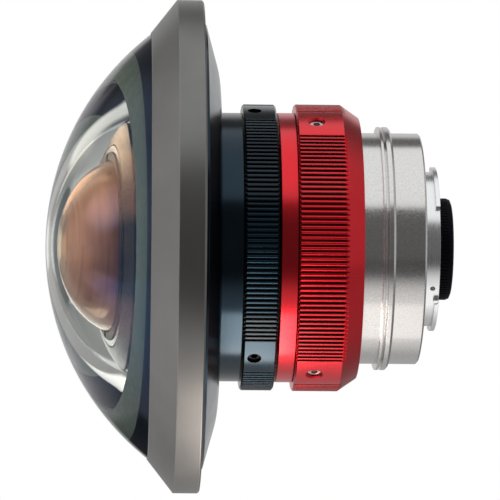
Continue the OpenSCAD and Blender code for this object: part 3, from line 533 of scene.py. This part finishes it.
# %% [markdown]
# The floor's finish answers each kind of ray in its own way, and Light Path tells them apart. For
# the camera it is plain and pale near the lens and turns to pure white further out, so that floor
# and background melt into one. Polished surfaces see a bright floor right below, a darker one
# towards the camera, behind and to the right, and a dark spot where the lower corner of the dome
# looks. Is Singular Ray keeps that spot to sharp mirrors, so the satin bezel stays even. Black cards
# on the floor would do the same in a studio, but they would show to the camera.

# %% The floor for camera and mirrors
def bare_tree(owner):
    owner.use_nodes = True
    owner.node_tree.nodes.clear()
    return owner.node_tree, put(owner.node_tree, "LightPath")


pale_floor = bpy.data.materials.new("pale_floor")
tree, path = bare_tree(pale_floor)
place = put(tree, "TexCoord")["Object"]
aside, depth = put(tree, "SeparateXYZ", place)[:2]
matt = put(tree, "BsdfDiffuse", Color=(0.86, 0.86, 0.86, 1))[0]
white = put(tree, "Emission", Strength=1.0)[0]
far = ramp(tree, measure(tree, "LENGTH", place), 0.2, 0.6)
seen = put(tree, "MixShader", times(tree, path["Is Camera Ray"], far), matt, white)[0]
front = ramp(tree, depth, -0.4, -0.14, 0.1, 0.8)
behind = ramp(tree, depth, 0.0, 0.12, 1.0, 0.55)
right = ramp(tree, aside, 0.02, 0.12, 1.0, 0.45)
left = ramp(tree, aside, -0.3, -0.2, 1.7, 1.0)
spot_wide = times(tree, ramp(tree, aside, -0.215, -0.18), ramp(tree, aside, -0.085, -0.105))
spot_deep = times(tree, ramp(tree, depth, 0.07, 0.11), ramp(tree, depth, 0.6, 0.4))
spot = times(tree, spot_wide, spot_deep, path["Is Singular Ray"])
bright = times(tree, front, behind, right, left, ramp(tree, spot, 0.0, 1.0, 1.0, 0.08))
mirrored = put(tree, "Emission", Strength=bright)[0]
print("floor for camera and mirrors ready")

# %% [markdown]
# Glass sees a grey floor that is white below the barrel and has a violet patch to the left in front,
# and its inner faces throw both back. Ray Depth counts the faces that a ray has met. Five of them
# mean a way into the dome, off the baffle and out again, and those rays see a brighter floor. One
# even floor would be simpler, but the dome would then look empty.

# %% The floor through glass
baffle_faces = 5
patch_at = (-0.156, -0.113, floor_at)
grey_level, white_more, baffle_more, patch_more = 0.3, 0.95, 1.8, 4.0
daylight, violet = (1.0, 0.98, 0.9, 1), (0.78, 0.72, 1.0, 1)
strip = times(tree, ramp(tree, aside, -0.05, -0.036), ramp(tree, depth, 0.13, 0.2, 1.0, 0.0))
level = maths(tree, "MULTIPLY_ADD", strip, white_more, grey_level)
baffle_ray = maths(tree, "COMPARE", path["Ray Depth"], baffle_faces, 0.5)
level = maths(tree, "MULTIPLY_ADD", baffle_ray,
              ramp(tree, aside, -0.17, -0.09, 0.0, baffle_more), level)
patch = ramp(tree, measure(tree, "DISTANCE", place, patch_at), 0.12, 0.04)
level = maths(tree, "MULTIPLY_ADD", patch, patch_more, level)
through = put(tree, "Emission", Color=mix_colour(tree, patch, daylight, violet), Strength=level)[0]
shown = put(tree, "MixShader", path["Is Glossy Ray"], seen, mirrored)[0]
shown = put(tree, "MixShader", path["Is Transmission Ray"], shown, through)[0]
put(tree, "OutputMaterial", Surface=shown)
floor.data.materials.append(pale_floor)
print("pale_floor on", floor.name)

# %% [markdown]
# Three soft lights make the picture: a broad one overhead and in front, and two low ones that stand
# behind the bezel, shine up and draw the bright line along the lower half of every ring. The one
# under the dark rings is strong, and the one under the silver mount is weak, because bare metal
# mirrors nearly all of it. A soft light is an area lamp; its brightness is its power over its area,
# so power follows from the two. All are hidden from rays that have passed through glass, where their
# hard edges would show as squares. The low ones are also kept off the dome, as a black card beside a
# lamp would do, because there they would only leave a thin glint at the rim.

# %% The lamps
def soft_light(name, centre, aim, wide, deep, brightness, colour):
    lamp = bpy.data.lights.new(name, "AREA")
    lamp.shape = "RECTANGLE"
    lamp.size, lamp.size_y = wide, deep
    lamp.color = colour
    lamp.energy = brightness * math.pi * wide * deep
    lamp_stand = bpy.data.objects.new(name, lamp)
    bpy.context.scene.collection.objects.link(lamp_stand)
    lamp_stand.location = centre
    aim_along = Vector(aim) - Vector(centre)
    lamp_stand.rotation_euler = aim_along.to_track_quat("-Z", "Y").to_euler()
    lamp_stand.visible_camera = False
    lamp_stand.visible_transmission = False
    return lamp_stand


def keep_off(name, *lamp_stands):
    card = bpy.data.collections.new("kept_in_shade")
    card.objects.link(solids[name])
    card.collection_objects[0].light_linking.link_state = "EXCLUDE"
    for lamp_stand in lamp_stands:
        lamp_stand.light_linking.receiver_collection = card


soft_light("overhead_box", centre=(-0.04, -0.12, 0.69), aim=(-0.04, 0, 0), wide=1.0, deep=1.17,
           brightness=0.86, colour=(0.96, 0.99, 1.0))
low_box = soft_light("low_box", centre=(-0.0355, -0.042, -0.1), aim=(-0.0355, -0.042, 1),
                     wide=0.016, deep=0.08, brightness=8.5, colour=(1.0, 0.88, 0.78))
low_fill = soft_light("low_fill", centre=(-0.0075, -0.042, -0.1), aim=(-0.0075, -0.042, 1),
                      wide=0.04, deep=0.08, brightness=0.4, colour=(1.0, 0.95, 0.91))
keep_off("front_element", low_box, low_fill)
print("three soft lights")

# %% [markdown]
# The room is white to the camera, but metal needs something else to mirror: brighter walls behind
# the lens and to its two sides, and a dim one in front, which is why the middle of each polished
# ring goes dark. Two dark zones behind, one high and one low, keep the corners of the dome black,
# and only sharp mirrors see them. One white room would be simpler, but the metal would lose its
# dark bands and look like plastic.

# %% The room in mirrors
room = bpy.data.worlds.new("white_room")
bpy.context.scene.world = room
tree, path = bare_tree(room)
direction = put(tree, "TexCoord")["Generated"]
sideways, facing, upwards = put(tree, "SeparateXYZ", direction)
height = maths(tree, "ABSOLUTE", upwards)
wall_left, wall_right, wall_back, wall_front = 0.72, 0.38, 0.53, 0.12
left = ramp(tree, sideways, -0.46, -0.78, 0.0, wall_left)
right = ramp(tree, sideways, 0.5, 0.8, 0.0, wall_right)
zones = times(tree, ramp(tree, sideways, -0.1, -0.2), ramp(tree, sideways, -0.46, -0.38),
              ramp(tree, height, 0.22, 0.38), path["Is Singular Ray"])
back = times(tree, ramp(tree, facing, 0.76, 0.88, 0.0, wall_back),
             ramp(tree, zones, 0.0, 1.0, 1.0, 0.05))
sides = maths(tree, "ADD", left, right)
mirrored = maths(tree, "ADD", back, maths(tree, "ADD", sides, wall_front))
print("room for mirrors ready")

# %% [markdown]
# Through the glass the room has a bright horizon, a dimmer wall and a bright strip higher up, which
# draw the grey crescents in the dome and their white rims. One warm glow above and in front lights
# the painted amber reflection in the second element. Another one, above and behind, is for the
# baffle, which mirrors it as a tan patch.
# Ray Depth picks the rays that met as many faces as that way has, and a room counts as one more. A
# lamp could give these glows too, but it would light the whole lens.

# %% The room through glass
def glow(towards, start, end):
    near = measure(tree, "DOT_PRODUCT", direction, Vector(towards).normalized())
    return ramp(tree, near, start, end)


strip_more, above_more, beyond_more = 0.6, 7.0, 4.0
strip = times(tree, ramp(tree, height, 0.6, 0.7), ramp(tree, height, 0.84, 0.92, 1.0, 0.0))
wall = times(tree, ramp(tree, facing, 0.5, 0.75, 0.2, 1.15),
             ramp(tree, height, 0.08, 0.26, 1.0, 0.36))
through = maths(tree, "MULTIPLY_ADD", strip, strip_more, wall)
through = times(tree, through, ramp(tree, sideways, -0.3, -0.6, 1.0, 0.35))
leftwards = times(tree, ramp(tree, sideways, -0.3, -0.9, 0.0, 1.2), ramp(tree, facing, 0.4, 0.0))
through = maths(tree, "ADD", through, leftwards)
above = glow((-0.4, -0.5, 0.75), 0.8, 0.97)
through = maths(tree, "MULTIPLY_ADD", above, above_more, through)
enough = spread(tree, path["Ray Depth"], 0.0, 1.0, start=baffle_faces - 0.5, end=baffle_faces + 1)
not_more = maths(tree, "LESS_THAN", path["Ray Depth"], baffle_faces + 1.5)
beyond = times(tree, glow((-0.2, 0.77, 0.6), 0.92, 0.985), times(tree, enough, not_more))
through = maths(tree, "MULTIPLY_ADD", beyond, beyond_more, through)
hue = mix_colour(tree, above, daylight, (1.0, 0.8, 0.62, 1))
hue = mix_colour(tree, beyond, hue, (1.0, 0.67, 0.43, 1))
print("room for glass ready")

# %% [markdown]
# Light Path now gives each kind of ray its own level: grey light for matt surfaces, the walls for
# mirrors, the glows for glass, and white for the camera. Separate rooms would need separate renders,
# and one room with a switch for each kind needs only these few nodes.

# %% The room put together
def instead(value, other, when):
    return spread(tree, when, value, other, start=0.0, end=1.0)


matt_level, camera_level = 0.4, 1.0
level = instead(matt_level, mirrored, path["Is Glossy Ray"])
level = instead(level, through, path["Is Transmission Ray"])
level = instead(level, camera_level, path["Is Camera Ray"])
hue = mix_colour(tree, path["Is Transmission Ray"], (1, 1, 1, 1), hue)
room_light = put(tree, "Background", Color=hue, Strength=level)[0]
put(tree, "OutputWorld", Surface=room_light)
bpy.context.scene.view_settings.view_transform = "Standard"
print("room ready")

# %% [markdown]
# The camera stands level with the axis, square to it, about 0.8 m away, with a long lens. Its place,
# aim and slight roll were fitted to the outline of the real lens. A nearer camera with a shorter
# lens would fill the frame too, but the rings at the two ends would open into ellipses.

# %% The camera
eye, target, roll = Vector((-0.07042, -0.80236, 0.00308)), Vector((-0.03894, 0, -0.00062)), 0.0097
sensor_mm, focal_mm = 36, 249.43
view = bpy.data.cameras.new("portrait_camera")
view.sensor_width = sensor_mm
view.lens = focal_mm
stand = bpy.data.objects.new("portrait_camera", view)
bpy.context.scene.collection.objects.link(stand)
turn = (target - eye).to_track_quat("-Z", "Y").to_matrix().to_4x4()
stand.matrix_world = Matrix.Translation(eye) @ turn @ Matrix.Rotation(roll, 4, "Z")
bpy.context.scene.camera = stand
print("camera", [round(v, 4) for v in eye])
